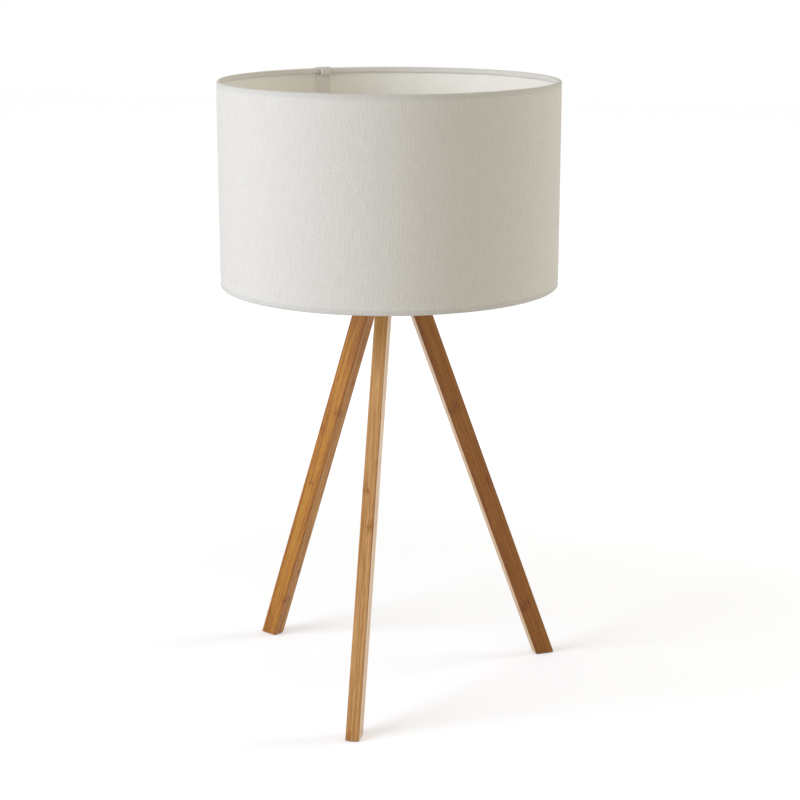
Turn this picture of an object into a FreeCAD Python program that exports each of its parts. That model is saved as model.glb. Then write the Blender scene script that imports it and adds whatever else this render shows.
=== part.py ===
"""Tripod table lamp: a fabric drum shade over three splayed bamboo legs.

Millimetres. +Z is up, the floor is Z = 0 and the lamp's axis is the Z axis. The front leg
stands towards -Y, the other two at +30 and +150 degrees.
"""
import FreeCAD, Part
import Sketcher
import math
import os
import re

Vector = FreeCAD.Vector

# Driving sizes, in millimetres and degrees.
SIZES = {
    "shade_diameter": 300,
    "shade_height": 180,
    "shade_drop": 8,              # from the legs' tops down to the shade's lower rim
    "fabric_thickness": 0.6,
    "liner_thickness": 0.4,
    "layer_gap": 0.12,            # between fabric and liner
    "wire_diameter": 2.2,         # of the top and bottom shade rings
    "wire_clearance": 0.25,       # round a ring in its hem
    "hem_height": 4,              # fabric tucked in past the wire's centre
    "notch_width": 5,             # opening in the lower hem for a spoke
    "spoke_diameter": 2.6,
    "spoke_level_run": 18,        # level stretch of a spoke outside the fitter ring
    "spoke_bend_radius": 12,
    "weld_overlap": 0.2,
    "leg_width": 12,
    "leg_depth": 17,              # across the leg, square to its length
    "leg_lean": 20.25,            # from the vertical
    "leg_seat_radius": 7,         # lamp axis to a leg's inner face, at its top
    "tripod_height": 378,         # floor to the legs' level tops
    "leg_edge_radius": 0.8,
    "pad_thickness": 1,
    "pad_inset": 1.5,             # from the foot's outline to the pad's
    "hub_height": 27,
    "slot_depth": 4,              # of the leg's seat in the hub
    "slot_clearance": 0.15,       # each side of the leg
    "screw_drop": 17,             # legs' tops to where a screw crosses the leg's centre line
    "screw_diameter": 4,
    "screw_hole_clearance": 0.2,
    "screw_thread_clearance": 0.05,
    "screw_head_diameter": 7.6,
    "screw_head_height": 2.4,
    "screw_socket_diameter": 2.8,
    "screw_socket_depth": 1.4,
    "screw_grip": 6.5,            # thread held by the hub
    "counterbore_clearance": 0.3,
    "counterbore_depth": 4,
    "tube_diameter": 10,
    "tube_bore": 7.8,
    "tube_clearance": 0.1,
    "bush_bore": 6.4,
    "bush_flange_diameter": 14,
    "bush_flange_height": 2,
    "bush_barrel_length": 8,
    "bush_clearance": 0.05,
    "plate_diameter": 58,
    "plate_thickness": 2.5,
    "washer_diameter": 19,
    "washer_thickness": 1,
    "nut_across_flats": 14,
    "nut_thickness": 3,
    "base_diameter": 38,
    "base_wall": 2,
    "base_height": 24,
    "boss_diameter": 16,
    "boss_height": 10,
    "switch_bar_diameter": 5,
    "switch_bar_length": 50,
    "switch_bar_height": 15.5,    # above the holder base's underside
    "switch_travel": 6,
    "switch_clearance": 0.1,
    "insert_level": 19.5,         # above the holder base's underside
    "insert_height": 10,
    "insert_clearance": 0.1,
    "terminal_offset": 10,
    "terminal_head_diameter": 5,
    "terminal_head_height": 2.5,
    "terminal_thread_diameter": 3,
    "terminal_thread_length": 6,
    "flange_diameter": 45,
    "flange_thickness": 2.5,
    "sleeve_diameter": 39,
    "sleeve_wall": 2.5,
    "sleeve_height": 37.5,        # flange included
    "shell_diameter": 28,
    "shell_wall": 0.4,
    "shell_height": 22,
    "contact_width": 6,
    "contact_height": 3.6,
    "seat_gap": 0.3,              # between pieces that come apart in use
    "fitter_clearance": 0.8,      # fitter ring over the sleeve
    "fitter_diameter": 54,
    "fitter_thickness": 1.5,
    "ring_clearance": 0.3,        # retaining ring over the sleeve
    "ring_diameter": 57,
    "ring_height": 8,
    "ring_flange_height": 2,
    "ring_grip_diameter": 51,
    "ring_flutes": 24,
    "flute_diameter": 2.4,
    "bulb_diameter": 37.2,
    "bulb_length": 108,
    "tip_diameter": 9,
    "tip_height": 1.2,
    "insulator_height": 3.8,
    "cap_diameter": 26.4,
    "cap_height": 21,
    "collar_flare": 12,
    "collar_band": 6,
    "globe_dome": 9,              # rounding of the bulb's end
    "edge_break": 0.5,
}

LEG_COUNT = 3
SPOKE_COUNT = 3
FRONT_LEG_ANGLE = -90
FIRST_SPOKE_ANGLE = -30

doc = FreeCAD.newDocument("tripod_table_lamp")
sizes = doc.addObject("Spreadsheet::Sheet", "sizes")


def fill_sheet():
    """Puts one named plain number on each row of the size sheet."""
    for row, (name, number) in enumerate(SIZES.items(), start=1):
        sizes.set("A%d" % row, name)
        sizes.set("B%d" % row, str(number))
        sizes.setAlias("B%d" % row, name)
    doc.recompute()


def expression(text):
    """Turns the names of sizes in an expression into references to the sheet."""
    return re.sub(r"[a-z_]+", lambda word: "sizes." + word.group()
                  if word.group() in SIZES else word.group(), text)


def value(text):
    """The present value of an expression of the sheet's names."""
    return float(sizes.evalExpression(expression(text)))


# Places worked out from the sizes, as expressions.
LEAN = "leg_lean * 1deg"
SHADE_RADIUS = "(shade_diameter / 2)"
SHADE_BOTTOM = "(tripod_height - shade_drop)"
SHADE_TOP = "(%s + shade_height)" % SHADE_BOTTOM
HEM_WIDTH = ("(2 * fabric_thickness + layer_gap + liner_thickness + wire_diameter"
             " + 2 * wire_clearance)")
TOP_FOLD = "(%s - %s / 2)" % (SHADE_TOP, HEM_WIDTH)
BOTTOM_FOLD = "(%s + %s / 2)" % (SHADE_BOTTOM, HEM_WIDTH)
FOLD_RADIUS = "(%s - %s / 2)" % (SHADE_RADIUS, HEM_WIDTH)
WIRE_RADIUS = ("(%s - fabric_thickness - layer_gap - liner_thickness - wire_clearance"
               " - wire_diameter / 2)" % SHADE_RADIUS)
SCREW_HEIGHT = "(tripod_height - screw_drop)"
HUB_BOTTOM = "(tripod_height - hub_height)"
WASHER_LEVEL = "(tripod_height + plate_thickness)"
NUT_LEVEL = "(%s + washer_thickness)" % WASHER_LEVEL
BASE_LEVEL = "(%s + nut_thickness)" % NUT_LEVEL
INSERT_LEVEL = "(%s + insert_level)" % BASE_LEVEL
INSERT_TOP = "(%s + insert_height)" % INSERT_LEVEL
FLANGE_LEVEL = "(%s + base_height)" % BASE_LEVEL
FITTER_LEVEL = "(%s + flange_thickness + seat_gap)" % FLANGE_LEVEL
SPOKE_LEVEL = "(%s - spoke_diameter / 2 + weld_overlap / 2)" % FITTER_LEVEL
RING_LEVEL = "(%s + fitter_thickness + seat_gap)" % FITTER_LEVEL
BULB_LEVEL = "(%s + contact_height + seat_gap)" % INSERT_TOP
BULB_CAP_LEVEL = "(%s + tip_height + insulator_height)" % BULB_LEVEL
COLLAR_LEVEL = "(%s + cap_height)" % BULB_CAP_LEVEL
GLOBE_LEVEL = "(%s + collar_flare + collar_band)" % COLLAR_LEVEL
BULB_TOP = "(%s + bulb_length)" % BULB_LEVEL


def leg_inner(height):
    """Distance of a leg's inner face from the lamp's axis at a height."""
    return "(leg_seat_radius + (tripod_height - %s) * tan(%s))" % (height, LEAN)


def leg_outer(height):
    """Distance of a leg's outer face from the lamp's axis at a height."""
    return "(%s + leg_depth / cos(%s))" % (leg_inner(height), LEAN)


def leg_centre(height):
    """Distance of a leg's centre line from the lamp's axis at a height."""
    return "(%s + leg_depth / 2 / cos(%s))" % (leg_inner(height), LEAN)


def origin_plane(body, role):
    """One of a body's own origin planes, found by its role."""
    return next(item for item in body.Origin.OriginFeatures if item.Role == role)


def new_body(label):
    """An empty body that names one sub-part."""
    body = doc.addObject("PartDesign::Body", label)
    body.Label = label
    body.AllowCompound = True
    return body


def new_sketch(body, name, role):
    """A sketch on one of the body's origin planes."""
    sketch = body.newObject("Sketcher::SketchObject", name)
    sketch.AttachmentSupport = [(origin_plane(body, role), "")]
    sketch.MapMode = "FlatFace"
    return sketch


def tie(sketch, geometry, end, axis, text):
    """Ties one coordinate of a point to an expression."""
    amount = value(text)
    if abs(amount) < 1e-9 and text == "0":
        line = -2 if axis == "X" else -1
        sketch.addConstraint(Sketcher.Constraint("PointOnObject", geometry, end, line))
        return
    number = sketch.addConstraint(
        Sketcher.Constraint("Distance" + axis, -1, 1, geometry, end, amount))
    sketch.setExpression("Constraints[%d]" % number, expression(text))


def outline(sketch, corners):
    """Draws a closed outline through corners.

    Each corner is (x, y) in expressions. A corner followed by (turn, x, y) starts an arc to
    the next corner: turn is +1 anticlockwise or -1 clockwise, and x, y its centre.
    """
    points = [Vector(value(corner[0]), value(corner[1]), 0) for corner in corners]
    starts = []
    ends = []
    for place, corner in enumerate(corners):
        here = points[place]
        there = points[(place + 1) % len(points)]
        if len(corner) == 2:
            geometry = sketch.addGeometry(Part.LineSegment(here, there), False)
            starts.append((geometry, 1))
            ends.append((geometry, 2))
            continue
        turn, centre_x, centre_y = corner[2:]
        centre = Vector(value(centre_x), value(centre_y), 0)
        first = math.atan2(here.y - centre.y, here.x - centre.x)
        last = math.atan2(there.y - centre.y, there.x - centre.x)
        circle = Part.Circle(centre, Vector(0, 0, 1), (here - centre).Length)
        if turn > 0:
            geometry = sketch.addGeometry(Part.ArcOfCircle(circle, first, last), False)
            starts.append((geometry, 1))
            ends.append((geometry, 2))
        else:
            geometry = sketch.addGeometry(Part.ArcOfCircle(circle, last, first), False)
            starts.append((geometry, 2))
            ends.append((geometry, 1))
        if abs(there.x - here.x) > abs(there.y - here.y):
            tie(sketch, geometry, 3, "Y", centre_y)
        else:
            tie(sketch, geometry, 3, "X", centre_x)
    for place, corner in enumerate(corners):
        following = starts[(place + 1) % len(starts)]
        sketch.addConstraint(Sketcher.Constraint("Coincident", *ends[place], *following))
        tie(sketch, *starts[place], "X", corner[0])
        tie(sketch, *starts[place], "Y", corner[1])


def circle(sketch, x, y, diameter):
    """Draws a circle whose centre and diameter are expressions."""
    centre = Vector(value(x), value(y), 0)
    ring = Part.Circle(centre, Vector(0, 0, 1), value(diameter) / 2)
    geometry = sketch.addGeometry(ring, False)
    tie(sketch, geometry, 3, "X", x)
    tie(sketch, geometry, 3, "Y", y)
    number = sketch.addConstraint(
        Sketcher.Constraint("Diameter", geometry, value(diameter)))
    sketch.setExpression("Constraints[%d]" % number, expression(diameter))


def revolve(body, sketch, kind="Revolution", axis="V_Axis"):
    """Turns a profile, or a cut, about one of its sketch's axes."""
    feature = body.newObject("PartDesign::" + kind, sketch.Name + "_turn")
    feature.Profile = sketch
    feature.ReferenceAxis = (sketch, [axis])
    feature.Angle = 360
    return feature


def extrude(body, sketch, length, kind="Pad", side="Symmetric", back=False):
    """Pads or pockets a profile by a length expression."""
    feature = body.newObject("PartDesign::" + kind, sketch.Name + "_" + kind.lower())
    feature.Profile = sketch
    feature.SideType = side
    feature.Reversed = back
    feature.setExpression("Length", expression(length))
    return feature


def repeat_round(body, features, count):
    """Repeats features evenly about the lamp's axis; count is a number or an expression."""
    pattern = body.newObject("PartDesign::PolarPattern", body.Name + "_pattern")
    pattern.Originals = features
    pattern.Axis = (features[0].Profile[0], ["V_Axis"])
    pattern.Angle = 360
    if isinstance(count, str):
        pattern.setExpression("Occurrences", expression(count))
    else:
        pattern.Occurrences = count
    body.Tip = pattern
    return pattern


def turned(label, corners):
    """A body of revolution about the lamp's axis, from its half outline (radius, height)."""
    body = new_body(label)
    sketch = new_sketch(body, label + "_profile", "XZ_Plane")
    outline(sketch, corners)
    revolve(body, sketch)
    return body


def ring_profile(inner, outer, low, high):
    """The half outline of a plain ring or tube."""
    return [(inner, low), (outer, low), (outer, high), (inner, high)]


def turn_about_axis(item, angle):
    """Places a sub-part at an angle about the lamp's axis."""
    item.Placement = FreeCAD.Placement(
        Vector(), FreeCAD.Rotation(Vector(0, 0, 1), angle))


def across_leg(body, name):
    """A sketch in the leg's radial plane whose X axis runs out along the leg screw."""
    sketch = new_sketch(body, name, "XZ_Plane")
    sketch.AttachmentOffset = FreeCAD.Placement(
        Vector(), FreeCAD.Rotation(Vector(0, 0, 1), value("leg_lean")))
    sketch.setExpression("AttachmentOffset.Base.x", expression(leg_centre(SCREW_HEIGHT)))
    sketch.setExpression("AttachmentOffset.Base.y", expression(SCREW_HEIGHT))
    sketch.setExpression("AttachmentOffset.Rotation.Angle", expression("leg_lean"))
    return sketch


# ---------------------------------------------------------------- shade

def make_shade_fabric():
    """The outer fabric, folded in round the wire rings at both rims."""
    outer_fold = "%s / 2" % HEM_WIDTH
    skin = "(%s - fabric_thickness)" % SHADE_RADIUS
    lip_in = "(%s - %s)" % (SHADE_RADIUS, HEM_WIDTH)
    lip_out = "(%s + fabric_thickness)" % lip_in
    top_lip = "(%s - hem_height)" % TOP_FOLD
    bottom_lip = "(%s + hem_height)" % BOTTOM_FOLD
    body = turned("shade_fabric", [
        (SHADE_RADIUS, BOTTOM_FOLD),
        (SHADE_RADIUS, TOP_FOLD, 1, FOLD_RADIUS, TOP_FOLD),
        (lip_in, TOP_FOLD),
        (lip_in, top_lip),
        (lip_out, top_lip),
        (lip_out, TOP_FOLD, -1, FOLD_RADIUS, TOP_FOLD),
        (skin, TOP_FOLD),
        (skin, BOTTOM_FOLD, -1, FOLD_RADIUS, BOTTOM_FOLD),
        (lip_out, BOTTOM_FOLD),
        (lip_out, bottom_lip),
        (lip_in, bottom_lip),
        (lip_in, BOTTOM_FOLD, 1, FOLD_RADIUS, BOTTOM_FOLD),
    ])
    notch = new_sketch(body, "spoke_notch", "XZ_Plane")
    notch_floor = "(%s - %s + fabric_thickness)" % (BOTTOM_FOLD, outer_fold)
    outline(notch, ring_profile(
        "(%s - notch_width)" % lip_in, "(%s + wire_clearance)" % lip_out,
        notch_floor, "(%s + fabric_thickness)" % bottom_lip))
    pocket = extrude(body, notch, "notch_width", "Pocket")
    repeat_round(body, [pocket], SPOKE_COUNT)
    turn_about_axis(body, FIRST_SPOKE_ANGLE)


def make_shade_liner():
    """The stiff liner that the fabric is laminated to."""
    outer = "(%s - fabric_thickness - layer_gap)" % SHADE_RADIUS
    inner = "(%s - liner_thickness)" % outer
    turned("shade_liner", ring_profile(inner, outer, BOTTOM_FOLD, TOP_FOLD))


def make_wire_ring(label, level):
    """A wire ring inside a hem."""
    body = new_body(label)
    sketch = new_sketch(body, label + "_section", "XZ_Plane")
    circle(sketch, WIRE_RADIUS, level, "wire_diameter")
    revolve(body, sketch)


def spoke_path(body, label):
    """The spoke's centre line: level under the fitter ring, a bend, a slope to the wire."""
    path = new_sketch(body, label + "_path", "XZ_Plane")
    inner = ("(flange_diameter / 2 + 3 * seat_gap)", SPOKE_LEVEL)
    bend = "(fitter_diameter / 2 + spoke_level_run)"
    weld = ("(%s - wire_diameter / 2 + weld_overlap)" % WIRE_RADIUS,
            "(%s + weld_overlap)" % BOTTOM_FOLD)
    start = Vector(value(inner[0]), value(inner[1]), 0)
    turn = Vector(value(bend), value(SPOKE_LEVEL), 0)
    end = Vector(value(weld[0]), value(weld[1]), 0)
    radius = value("spoke_bend_radius")
    slope = math.atan2(turn.y - end.y, end.x - turn.x)
    centre = turn - Vector(0, radius, 0)
    leave = centre + Vector(radius * math.sin(slope), radius * math.cos(slope), 0)
    arc = Part.Circle(centre, Vector(0, 0, 1), radius)
    path.addGeometry(Part.LineSegment(start, turn), False)
    path.addGeometry(Part.ArcOfCircle(arc, math.pi / 2 - slope, math.pi / 2), False)
    path.addGeometry(Part.LineSegment(leave, end), False)
    path.addConstraint(Sketcher.Constraint("Tangent", 0, 2, 1, 2))
    path.addConstraint(Sketcher.Constraint("Tangent", 1, 1, 2, 1))
    path.addConstraint(Sketcher.Constraint("Horizontal", 0))
    tie(path, 0, 1, "X", inner[0])
    tie(path, 0, 1, "Y", inner[1])
    tie(path, 0, 2, "X", bend)
    tie(path, 2, 2, "X", weld[0])
    tie(path, 2, 2, "Y", weld[1])
    number = path.addConstraint(Sketcher.Constraint("Radius", 1, radius))
    path.setExpression("Constraints[%d]" % number, expression("spoke_bend_radius"))
    return path


def make_spoke(label, angle):
    """A wire spoke that slopes up from the bottom ring to the underside of the fitter ring."""
    body = new_body(label)
    path = spoke_path(body, label)
    section = new_sketch(body, label + "_section", "YZ_Plane")
    section.setExpression("AttachmentOffset.Base.z",
                          expression("flange_diameter / 2 + 3 * seat_gap"))
    circle(section, "0", SPOKE_LEVEL, "spoke_diameter")
    wire = body.newObject("PartDesign::AdditivePipe", label + "_wire")
    wire.Profile = section
    wire.Spine = path
    turn_about_axis(body, angle)


def make_fitter_ring():
    """The flat ring of the shade's carrier that rests on the lampholder."""
    inner = "(sleeve_diameter / 2 + fitter_clearance)"
    high = "(%s + fitter_thickness)" % FITTER_LEVEL
    turned("fitter_ring", ring_profile(inner, "(fitter_diameter / 2)", FITTER_LEVEL, high))


# ---------------------------------------------------------------- tripod

def make_leg(label, angle):
    """A plain rectangular bamboo leg, cut level at both ends and bored for its screw."""
    body = new_body(label)
    side = new_sketch(body, label + "_side", "XZ_Plane")
    outline(side, [
        (leg_inner("pad_thickness"), "pad_thickness"),
        (leg_outer("pad_thickness"), "pad_thickness"),
        (leg_outer("tripod_height"), "tripod_height"),
        (leg_inner("tripod_height"), "tripod_height"),
    ])
    bar = extrude(body, side, "leg_width")
    doc.recompute()
    rounded = body.newObject("PartDesign::Fillet", label + "_edges")
    rounded.Base = (bar, long_edges(bar.Shape))
    rounded.setExpression("Radius", expression("leg_edge_radius"))
    doc.recompute()
    bore = across_leg(body, label + "_bore")
    hole = "(screw_diameter / 2 + screw_hole_clearance)"
    wide = "(screw_head_diameter / 2 + counterbore_clearance)"
    floor = "(leg_depth / 2 - counterbore_depth)"
    outline(bore, [
        ("-leg_depth", "0"),
        ("leg_depth", "0"),
        ("leg_depth", wide),
        (floor, wide),
        (floor, hole),
        ("-leg_depth", hole),
    ])
    revolve(body, bore, "Groove", "H_Axis")
    turn_about_axis(body, angle)


def long_edges(shape):
    """Names of a leg's four edges that run along it."""
    longest = max(edge.Length for edge in shape.Edges)
    return ["Edge%d" % number for number, edge in enumerate(shape.Edges, start=1)
            if edge.Length > 0.9 * longest]


def make_foot_pad(label, angle):
    """A thin pad under a leg's level foot."""
    body = new_body(label)
    side = new_sketch(body, label + "_side", "XZ_Plane")
    outer = "(%s - pad_inset)" % leg_outer("pad_thickness")
    inner = "(%s + pad_inset)" % leg_inner("pad_thickness")
    outline(side, ring_profile(inner, outer, "0", "pad_thickness"))
    extrude(body, side, "leg_width - 2 * pad_inset")
    turn_about_axis(body, angle)


def make_hub():
    """The cast hub: a cone with three sloping seats for the legs and a bore on its axis."""
    bore = "(tube_diameter / 2 + tube_clearance)"
    low = "(%s + slot_depth)" % leg_inner(HUB_BOTTOM)
    high = "(%s + slot_depth)" % leg_inner("tripod_height")
    body = turned("hub", [
        (bore, HUB_BOTTOM),
        (low, HUB_BOTTOM),
        (high, "tripod_height"),
        (bore, "tripod_height"),
    ])
    seat = new_sketch(body, "leg_seat", "XZ_Plane")
    above = "(tripod_height + slot_depth)"
    below = "(%s - slot_depth)" % HUB_BOTTOM
    far = "(%s + 2 * slot_depth)" % leg_inner(below)
    outline(seat, [
        (leg_inner(below), below),
        (far, below),
        (far, above),
        (leg_inner(above), above),
    ])
    slot = extrude(body, seat, "leg_width + 2 * slot_clearance", "Pocket")
    thread = across_leg(body, "leg_screw_thread")
    radius = "(screw_diameter / 2 + screw_thread_clearance)"
    end = "(-leg_depth / 2 - screw_grip - screw_thread_clearance)"
    outline(thread, [(end, "0"), ("0", "0"), ("0", radius), (end, radius)])
    hole = revolve(body, thread, "Groove", "H_Axis")
    pattern = repeat_round(body, [slot, hole], LEG_COUNT)
    pattern.Axis = (seat, ["V_Axis"])
    turn_about_axis(body, FRONT_LEG_ANGLE)


def make_leg_screws():
    """Three button-head screws that pull the legs into the hub's seats."""
    body = new_body("leg_screws")
    screw = across_leg(body, "leg_screw_profile")
    seat = "(leg_depth / 2 - counterbore_depth)"
    top = "(%s + screw_head_height)" % seat
    socket = "(%s - screw_socket_depth)" % top
    shank = "(screw_diameter / 2)"
    head = "(screw_head_diameter / 2)"
    outline(screw, [
        ("(-leg_depth / 2 - screw_grip)", "0"),
        (socket, "0"),
        (socket, "(screw_socket_diameter / 2)"),
        (top, "(screw_socket_diameter / 2)"),
        (top, "(%s - edge_break)" % head),
        ("(%s - edge_break)" % top, head),
        (seat, head),
        (seat, shank),
        ("(edge_break - leg_depth / 2 - screw_grip)", shank),
        ("(-leg_depth / 2 - screw_grip)", "(%s - edge_break)" % shank),
    ])
    one = revolve(body, screw, "Revolution", "H_Axis")
    upright = new_sketch(body, "lamp_axis", "XZ_Plane")
    pattern = repeat_round(body, [one], LEG_COUNT)
    pattern.Axis = (upright, ["V_Axis"])
    turn_about_axis(body, FRONT_LEG_ANGLE)


# ---------------------------------------------------------------- centre stack

def make_inlet_bush():
    """The smooth bush where a cord would enter the threaded tube from below."""
    bore = "(bush_bore / 2)"
    flange = "(bush_flange_diameter / 2)"
    low = "(%s - bush_flange_height)" % HUB_BOTTOM
    barrel = "(tube_bore / 2 - bush_clearance)"
    high = "(%s + bush_barrel_length)" % HUB_BOTTOM
    turned("cord_inlet_bush", [
        ("(%s + edge_break)" % bore, low),
        ("(%s - edge_break)" % flange, low),
        (flange, "(%s + edge_break)" % low),
        (flange, HUB_BOTTOM),
        (barrel, HUB_BOTTOM),
        (barrel, high),
        (bore, high),
        (bore, "(%s + edge_break)" % low),
    ])


def make_threaded_tube():
    """The hollow threaded tube that ties hub, plate and lampholder together."""
    high = "(%s + boss_height)" % BASE_LEVEL
    turned("threaded_tube", ring_profile(
        "(tube_bore / 2)", "(tube_diameter / 2)", HUB_BOTTOM, high))


def make_top_plate():
    """The steel disc that covers the tops of the legs."""
    bore = "(tube_diameter / 2 + tube_clearance)"
    rim = "(plate_diameter / 2)"
    turned("top_plate", [
        (bore, "tripod_height"),
        (rim, "tripod_height"),
        (rim, "(%s - edge_break)" % WASHER_LEVEL),
        ("(%s - edge_break)" % rim, WASHER_LEVEL),
        (bore, WASHER_LEVEL),
    ])


def make_lock_washer():
    """The washer under the lock nut."""
    bore = "(tube_diameter / 2 + tube_clearance)"
    turned("lock_washer", ring_profile(
        bore, "(washer_diameter / 2)", WASHER_LEVEL, NUT_LEVEL))


def make_lock_nut():
    """The thin hexagonal nut on the threaded tube."""
    body = new_body("lock_nut")
    sketch = new_sketch(body, "nut_outline", "XY_Plane")
    sketch.setExpression("AttachmentOffset.Base.z", expression(NUT_LEVEL))
    corner = "nut_across_flats / 2 / cos(30deg)"
    outline(sketch, [
        ("(%s * cos(%ddeg))" % (corner, angle), "(%s * sin(%ddeg))" % (corner, angle))
        for angle in range(30, 360, 60)])
    circle(sketch, "0", "0", "(tube_diameter + 2 * tube_clearance)")
    extrude(body, sketch, "nut_thickness", side="One side")


# ---------------------------------------------------------------- lampholder

def make_holder_base():
    """The lampholder's lower cup, screwed on the tube, with bores for the switch bar."""
    bore = "(tube_diameter / 2 + tube_clearance)"
    boss = "(boss_diameter / 2)"
    outer = "(base_diameter / 2)"
    inner = "(%s - base_wall)" % outer
    floor = "(%s + base_wall)" % BASE_LEVEL
    body = turned("holder_base", [
        (bore, BASE_LEVEL),
        ("(%s - 2 * base_wall)" % outer, BASE_LEVEL),
        (outer, "(%s + 2 * base_wall)" % BASE_LEVEL),
        (outer, FLANGE_LEVEL),
        (inner, FLANGE_LEVEL),
        (inner, "(%s + 2 * base_wall)" % BASE_LEVEL),
        ("(%s - base_wall)" % inner, floor),
        (boss, floor),
        (boss, "(%s + boss_height)" % BASE_LEVEL),
        (bore, "(%s + boss_height)" % BASE_LEVEL),
    ])
    sketch = new_sketch(body, "switch_bores", "YZ_Plane")
    circle(sketch, "0", "(%s + switch_bar_height)" % BASE_LEVEL,
           "(switch_bar_diameter + 2 * switch_clearance)")
    extrude(body, sketch, "2 * base_diameter", "Pocket")


def make_holder_insert():
    """The insulating block inside the lampholder, bored for its terminal screws."""
    outer = "(base_diameter / 2 - base_wall - insert_clearance)"
    body = new_body("holder_insert")
    disc = new_sketch(body, "insert_outline", "XY_Plane")
    disc.setExpression("AttachmentOffset.Base.z", expression(INSERT_LEVEL))
    circle(disc, "0", "0", "(2 * %s)" % outer)
    for side in ("", "-"):
        circle(disc, "0", "(%sterminal_offset)" % side,
               "(terminal_thread_diameter + 2 * screw_thread_clearance)")
    extrude(body, disc, "insert_height", side="One side")


def make_terminal_screws():
    """The two screws that clamp the wires under the insulating block."""
    body = new_body("terminal_screws")
    head = new_sketch(body, "terminal_heads", "XY_Plane")
    head.setExpression("AttachmentOffset.Base.z", expression(INSERT_LEVEL))
    thread = new_sketch(body, "terminal_threads", "XY_Plane")
    thread.setExpression("AttachmentOffset.Base.z", expression(INSERT_LEVEL))
    for side in ("", "-"):
        place = "(%sterminal_offset)" % side
        circle(head, "0", place, "terminal_head_diameter")
        circle(thread, "0", place, "terminal_thread_diameter")
    extrude(body, head, "terminal_head_height", side="One side", back=True)
    extrude(body, thread, "terminal_thread_length", side="One side")


def make_holder_sleeve():
    """The lampholder's outer sleeve with the shoulder that the shade rests on."""
    outer = "(sleeve_diameter / 2)"
    inner = "(%s - sleeve_wall)" % outer
    shoulder = "(%s + flange_thickness)" % FLANGE_LEVEL
    top = "(%s + sleeve_height)" % FLANGE_LEVEL
    turned("holder_sleeve", [
        (inner, FLANGE_LEVEL),
        ("(flange_diameter / 2)", FLANGE_LEVEL),
        ("(flange_diameter / 2)", shoulder),
        (outer, shoulder),
        (outer, "(%s - edge_break)" % top),
        ("(%s - edge_break)" % outer, top),
        (inner, top),
    ])


def make_screw_shell():
    """The brass shell that the bulb's cap screws into."""
    outer = "(shell_diameter / 2)"
    inner = "(%s - shell_wall)" % outer
    turned("screw_shell", ring_profile(
        inner, outer, INSERT_TOP, "(%s + shell_height)" % INSERT_TOP))


def make_centre_contact():
    """The sprung brass tongue under the bulb's tip."""
    body = new_body("centre_contact")
    side = new_sketch(body, "contact_side", "XZ_Plane")
    outline(side, [
        ("(-contact_width)", INSERT_TOP),
        ("contact_width", INSERT_TOP),
        ("(contact_width / 2)", "(%s + contact_height)" % INSERT_TOP),
        ("(-contact_width / 2)", "(%s + contact_height)" % INSERT_TOP),
    ])
    extrude(body, side, "contact_width")


def make_switch_bar():
    """The push-through bar that turns the lamp on and off, at rest out towards +X."""
    body = new_body("switch_bar")
    sketch = new_sketch(body, "bar_profile", "XZ_Plane")
    sketch.setExpression("AttachmentOffset.Base.x", expression("switch_travel / 2"))
    sketch.setExpression("AttachmentOffset.Base.y",
                         expression("%s + switch_bar_height" % BASE_LEVEL))
    radius = "(switch_bar_diameter / 2)"
    half = "(switch_bar_length / 2)"
    outline(sketch, [
        ("(-%s)" % half, "0"),
        (half, "0"),
        (half, "(%s - 2 * edge_break)" % radius),
        ("(%s - 2 * edge_break)" % half, radius),
        ("(2 * edge_break - %s)" % half, radius),
        ("(-%s)" % half, "(%s - 2 * edge_break)" % radius),
    ])
    revolve(body, sketch, "Revolution", "H_Axis")


def make_retaining_ring():
    """The fluted ring that screws down on the sleeve and holds the shade."""
    inner = "(sleeve_diameter / 2 + ring_clearance)"
    grip = "(ring_grip_diameter / 2)"
    top = "(%s + ring_height)" % RING_LEVEL
    step = "(%s + ring_flange_height)" % RING_LEVEL
    body = turned("retaining_ring", [
        (inner, RING_LEVEL),
        ("(ring_diameter / 2)", RING_LEVEL),
        ("(ring_diameter / 2)", step),
        (grip, step),
        (grip, "(%s - edge_break)" % top),
        ("(%s - edge_break)" % grip, top),
        (inner, top),
    ])
    sketch = new_sketch(body, "flute", "XY_Plane")
    sketch.setExpression("AttachmentOffset.Base.z", expression(step))
    circle(sketch, grip, "0", "flute_diameter")
    flute = extrude(body, sketch, "2 * ring_height", "Pocket", "One side", back=True)
    pattern = repeat_round(body, [flute], "ring_flutes")
    pattern.Axis = (sketch, ["N_Axis"])


# ---------------------------------------------------------------- bulb

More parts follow.
